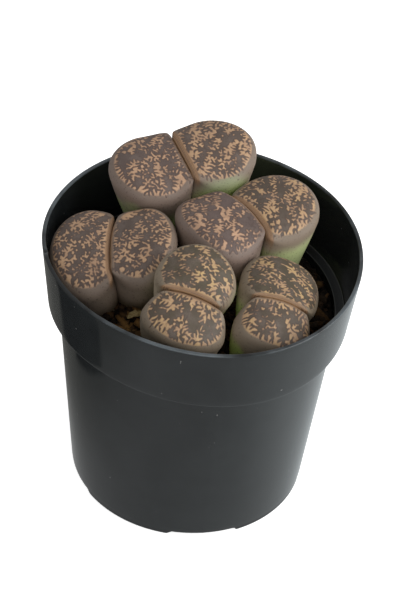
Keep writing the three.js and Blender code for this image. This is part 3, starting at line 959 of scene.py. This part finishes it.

# The flank: painted shade at the shoulder, middle, sheltered part and darker foot; then its
# green.
sheltered = skin.value("shelter") * skin.step(sunk, 2.2, 7)
flank = skin.mix((0.350, 0.262, 0.222), (0.260, 0.195, 0.167), patchy)
# Olive plants have paler, yellower flanks; this colour is also made lighter than the skin is, as
# painted light where these flanks lie in the pot's shade.
flank = skin.mix(flank, (0.64, 0.55, 0.38), 0.65 * olive)
# Painted shade: the shoulder just under the face is darker, where the light falls on it most.
painted_shoulder_shade = skin.mix((0.175, 0.129, 0.106), (0.215, 0.172, 0.122), olive)
flank = skin.layers(
    skin.mix(painted_shoulder_shade, flank, skin.step(sunk, 1.2, 6.2)),
    ((0.36, 0.275, 0.14), 0.5 * sheltered),
    # Darker towards the foot.
    ((0.12, 0.088, 0.050), skin.step(sunk, 7.5, 11.5)),
)
# The green is darker just under the face and lighter lower down: painted shade at the top and
# painted light below, against the way the light falls on the flank.
green = skin.layers(
    skin.mix((0.31, 0.32, 0.21), (0.26, 0.285, 0.165), patchy),
    ((0.54, 0.62, 0.30), skin.step(sunk, 1.6, 6.5)),
    ((0.56, 0.70, 0.20), sheltered),
)
flank = skin.layers(
    flank,
    (green, skin.step(skin.value("green") + 0.9 * (broad - 0.5), 0, 1)),
    ((0.12, 0.085, 0.07), 0.3 * skin.step(fine, 0.55, 0.7)),
    ((0.07, 0.05, 0.045), 0.5 * skin.step(skin.noise(0.5, 1), 0.64, 0.70)),
)

# The lip along the slit is streaked, and lies over both.
streaks = {"W": skin.value("across") * 2.2, "Detail": 2.0}
lines = skin.node("ShaderNodeTexNoise", {"noise_dimensions": "1D"}, streaks)
lip = skin.mix((0.13, 0.072, 0.042), (0.37, 0.215, 0.11), skin.step(lines, 0.38, 0.62))
below = skin.step(spread + 0.04 * (speckle - 0.5), 0.85, 0.895) * tan_area
colour = skin.layers(
    skin.mix(window, island, tan_area),
    (flank, below),
    (lip, skin.value("lip") * 0.85),
)
lithops_skin = skin.surface(
    Base_Color=colour,
    Roughness=0.46 + 0.2 * speckle,
    Normal=skin.bump(0.5 * tan_area + 0.3 * fine + 0.4 * mottle, 0.05),
    Specular_IOR_Level=0.4,
)

# %% The five plants
for node, plant in PLANTS.items():
    piece = make_piece(node + "_skin", *plant_surface(plant))
    stand_for(piece, node, lithops_skin)

# %% [markdown]
# ## Soil
#
# Dark bark and grit: the pot's filling with a lumpy top, and on it crumbs and
# chips by the hundred, each with a few faces only, placed by a seeded draw and
# sunk part way in. All of it is one mesh.

# %% The soil's height
SOIL_CROWN, SOIL_BOTTOM, SOIL_COLUMNS = 4.6, 2.6, 256
FLAKE_AT = np.array([-13.2, -11.1])
# The crumbs raise the top again by what the body lies lower.
UNDER_CRUMBS = 0.25


def soil_height(x, y):
    """A low crown, and soft lumps that fade out under the flake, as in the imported
    model."""
    reach = np.minimum(np.hypot(x, y) / (NECK_RADIUS - WALL), 1)
    lumps = 0.35 * np.sin(0.55 * x + 1.3) * np.cos(0.6 * y) + 0.25 * np.sin(0.9 * x - 0.8 * y)
    away = np.minimum(np.hypot(x - FLAKE_AT[0], y - FLAKE_AT[1]) / 5, 1)
    return SOIL_EDGE + SOIL_CROWN * (1 - reach ** 4) + lumps * away


print("soil from", SOIL_EDGE, "to", round(float(soil_height(0, 0)), 1), "mm high")

# %% The body of the soil
def soil_body():
    """Rings from the middle of the top out to the wall, down the wall and in to
    the middle of the bottom; the top follows the height and small bumps."""
    angle = full_turn(SOIL_COLUMNS)
    edge = NECK_RADIUS - WALL - 0.35
    top = np.linspace(0, 1, 90)[1:] * edge
    wall_radius = [edge, BASE_RADIUS - WALL - 0.4, BASE_RADIUS - 2.3]
    wall_z = [SOIL_EDGE - 2, SOIL_BOTTOM + 1, SOIL_BOTTOM]
    radius = np.concatenate([top, wall_radius])[:, None] * np.ones(SOIL_COLUMNS)
    z = np.concatenate([np.full(len(top), SOIL_EDGE), wall_z])[:, None] * np.ones(SOIL_COLUMNS)
    x, y = polar(radius * squeeze(angle[None, :], z), angle)
    place = np.stack([x, y, 0 * x], axis=-1)
    bumps = 0.22 * ripples(place, 1.6, 3, 14) + 0.12 * ripples(place, 0.8, 4, 14)
    on_top = np.arange(len(radius))[:, None] < len(top)
    z = np.where(on_top, soil_height(x, y) + bumps - UNDER_CRUMBS, z)
    points = np.stack([x, y, z], axis=-1).reshape(-1, 3)
    poles = [[0, 0, soil_height(0, 0) - UNDER_CRUMBS], [0, 0, SOIL_BOTTOM]]
    inside_out = closed_tube(len(radius), SOIL_COLUMNS)
    return np.concatenate([points, poles]), [array[:, ::-1] for array in inside_out]


# %% Crumbs and chips
BALL = np.array([
    (0, 0, 1), (0.894, 0, 0.447), (0.276, 0.851, 0.447), (-0.724, 0.526, 0.447),
    (-0.724, -0.526, 0.447), (0.276, -0.851, 0.447), (0.724, 0.526, -0.447),
    (-0.276, 0.851, -0.447), (-0.894, 0, -0.447), (-0.276, -0.851, -0.447),
    (0.724, -0.526, -0.447), (0, 0, -1),
])
# The ball's faces: a point, a ring of five, a turned ring of five and a point.
upper, after = np.arange(1, 6), np.roll(np.arange(1, 6), -1)
BALL_FACES = np.concatenate([np.stack(corners, axis=-1) for corners in (
    (0 * upper, upper, after),
    (upper, upper + 5, after),
    (after, upper + 5, after + 5),
    (upper + 5, 0 * upper + 11, after + 5),
)])
CHIP_RING = np.array([(-1, -1), (1, -1), (1, 1), (-1, 1)])


def chip_shape(sections=5):
    """A splinter: square sections from one end to the other, closed at both ends."""
    along = np.linspace(-1, 1, sections)
    points = np.concatenate([np.column_stack([np.full(4, a), CHIP_RING]) for a in along])
    quads = wrap_quads(sections, 4)
    ends = np.array([[3, 2, 1, 0], 4 * (sections - 1) + np.arange(4)])
    return points, np.concatenate([quads, ends])


def turns(random, count, tilt):
    """Random rotation matrices: any turn about Z, and a lean of about this many
    radians."""
    yaw = random.uniform(0, 2 * np.pi, count)
    pitch, roll = random.normal(0, tilt, (2, count))
    cy, cp, cr = np.cos([yaw, pitch, roll])
    sy, sp, sr = np.sin([yaw, pitch, roll])
    rows = [
        [cy * cp, cy * sp * sr - sy * cr, cy * sp * cr + sy * sr],
        [sy * cp, sy * sp * sr + cy * cr, sy * sp * cr - cy * sr],
        [-sp, cp * sr, cp * cr],
    ]
    return np.moveaxis(np.array(rows), -1, 0)


def scatter(shape, faces, sizes, places, matrices, jitter, random):
    """Copies of a shape, each scaled, roughened, turned and put in its place, as
    one array of points and one of faces."""
    count = len(places)
    rough = 1 + jitter * random.standard_normal((count, len(shape), 1))
    points = shape[None] * sizes[:, None, :] * rough
    points = np.einsum("nij,nkj->nki", matrices, points) + places[:, None, :]
    shifted = faces[None] + (np.arange(count) * len(shape))[:, None, None]
    return points.reshape(-1, 3), shifted.reshape(-1, faces.shape[1])


# %% The whole soil
# How many, half length in mm from and to, height over length, lean in radians,
# roughness, how far they are raised, and the lightest tone.
LITTER = {
    "crumb": (2600, (0.35, 0.95), 0.7, 0.8, 0.16, 0.1, 0.68),
    "chip": (620, (1.0, 2.6), 0.22, 0.35, 0.10, 0.15, 0.88),
}
LITTER_RADIUS, BODY_TONE, TONE_RANGE = 29.2, 0.25, 0.48


def half_sizes(kind, length, flat, random):
    """Half length, width and height: crumbs are nearly round, chips narrow and thin."""
    if kind == "crumb":
        width = length * random.uniform(0.6, 1, len(length))
        return np.column_stack([length, width, length * flat])
    width = length * random.uniform(0.22, 0.45, len(length))
    height = np.maximum(length * flat * random.uniform(0.5, 1, len(length)), 0.16)
    return np.column_stack([length, width, height])


def litter(kind, random):
    """Crumbs or chips that lie on the soil inside the wall, and a tone for each
    point, lighter beside the flake."""
    count, lengths, flat, lean, jitter, raised, lightest = LITTER[kind]
    shape, shape_faces = (BALL, BALL_FACES) if kind == "crumb" else chip_shape()
    radius = LITTER_RADIUS * np.sqrt(random.uniform(0, 1, count))
    x, y = polar(radius, random.uniform(0, 2 * np.pi, count))
    length = random.uniform(*lengths, count)
    sizes = half_sizes(kind, length, flat, random)
    wall = (NECK_RADIUS - WALL - 0.3) * squeeze(np.arctan2(y, x), SOIL_EDGE)
    inside = np.hypot(x, y) + length < wall
    places = np.column_stack([x, y, soil_height(x, y) + raised * length])[inside]
    matrices = turns(random, count, lean)[inside]
    points, faces = scatter(shape, shape_faces, sizes[inside], places, matrices, jitter, random)
    tone = random.uniform(lightest - TONE_RANGE, lightest, len(places))
    beside_flake = np.hypot(*(places[:, :2] - FLAKE_AT - (0, -3)).T)
    tone += 0.27 * np.exp(-((beside_flake / 6) ** 2))
    print(len(places), kind + "s")
    return points, faces, np.repeat(tone, len(shape))


def soil_surface():
    """The soil's body with crumbs and chips sunk into its top, and their tones."""
    random = np.random.default_rng(5)
    points, faces = soil_body()
    tones = np.full(len(points), BODY_TONE)
    for kind in LITTER:
        more, more_faces, more_tones = litter(kind, random)
        faces.append(more_faces + len(points))
        points = np.concatenate([points, more])
        tones = np.concatenate([tones, more_tones])
    return points + AXIS, faces, dict(tone=tones)


soil = make_piece("bark_soil", *soil_surface())

# %% [markdown]
# Bark is nearly black where it is wet and golden where a chip shows its fibres.
# Each crumb and chip carries one number, its tone, which picks its colour from a
# ramp; a stretched noise draws the fibres.

# %% Bark and grit
bark = Finish("bark_and_grit")
tone = bark.value("tone")
fibres = bark.noise(0.5, 3, 0.6, bark.place((1, 3.5, 1)))
damp = bark.noise(8, 2)
shade = tone * 0.8 + 0.35 * (fibres - 0.5) + 0.3 * (damp - 0.5)
ramp = [
    (0.0, (0.004, 0.003, 0.002)),
    (0.38, (0.014, 0.008, 0.004)),
    (0.62, (0.055, 0.028, 0.011)),
    (0.82, (0.19, 0.098, 0.028)),
    (1.0, (0.36, 0.215, 0.07)),
]
colour = bark.node("ShaderNodeValToRGB", {"stops": ramp}, {"Fac": shade})
bark_soil = bark.surface(
    Base_Color=colour,
    Roughness=0.8 + 0.15 * fibres,
    Normal=bark.bump(fibres, 0.15),
    Specular_IOR_Level=0.25,
)
stand_for(soil, "soil", bark_soil)

# %% [markdown]
# ## Flake of husk
#
# A dry curl of last year's leaf lies on the soil beside the left plant. It is a
# thin lens-shaped section carried along an arc, narrower and torn at its ends.

# %% The flake
# Half the arc in degrees, its radius, half width and half thickness in mm, and
# the flake's turn in degrees.
HALF_ARC, CURL_RADIUS, CURL_WIDTH, CURL_THICK, CURL_TURN = 47.5, 2.85, 1.0, 0.22, 20
CURL_ROWS, CURL_COLUMNS = 40, 24


def flake_surface():
    """A flat oval section carried along an arc: its width shrinks to both ends by
    a sine, and ripples fray its edges. Poles close the ends."""
    arc = np.radians(90 + np.linspace(HALF_ARC, -HALF_ARC, CURL_ROWS))[:, None]
    turn = full_turn(CURL_COLUMNS)[None, :]
    swell = np.sin(np.linspace(0.12, np.pi - 0.12, CURL_ROWS))[:, None] ** 0.4
    radius = CURL_RADIUS + CURL_THICK * swell * np.sin(turn)
    x, z = polar(radius, arc)
    z = z - 2.5 * math.cos(math.radians(HALF_ARC))
    y = CURL_WIDTH * swell * np.cos(turn) * (1 + 0.10 * np.sin(9 * arc + 1))
    local = np.stack([x, y, z], axis=-1).reshape(-1, 3)
    local[:, 1] += 0.12 * ripples(local, 1.4, 8)
    local[:, 2] += 0.06 * ripples(local, 1.0, 9)
    ends = [local[:CURL_COLUMNS].mean(axis=0), local[-CURL_COLUMNS:].mean(axis=0)]
    turned_by = np.array(Matrix.Rotation(math.radians(CURL_TURN), 3, "Z"))
    low = float(soil_height(*FLAKE_AT)) + 0.5
    points = np.concatenate([local, ends]) @ turned_by.T + [*FLAKE_AT, low] + AXIS
    return points, closed_tube(CURL_ROWS, CURL_COLUMNS)


flake = make_piece("husk_curl", *flake_surface())
husk = Finish("dry_husk")
fibres = husk.noise(0.6, 3, 0.6, husk.place((1, 4, 1)))
dry_husk = husk.surface(
    Base_Color=husk.mix((0.16, 0.10, 0.03), (0.46, 0.36, 0.17), husk.step(fibres, 0.3, 0.65)),
    Roughness=0.75,
    Normal=husk.bump(fibres, 0.08),
)
stand_for(flake, "husk_flake", dry_husk)
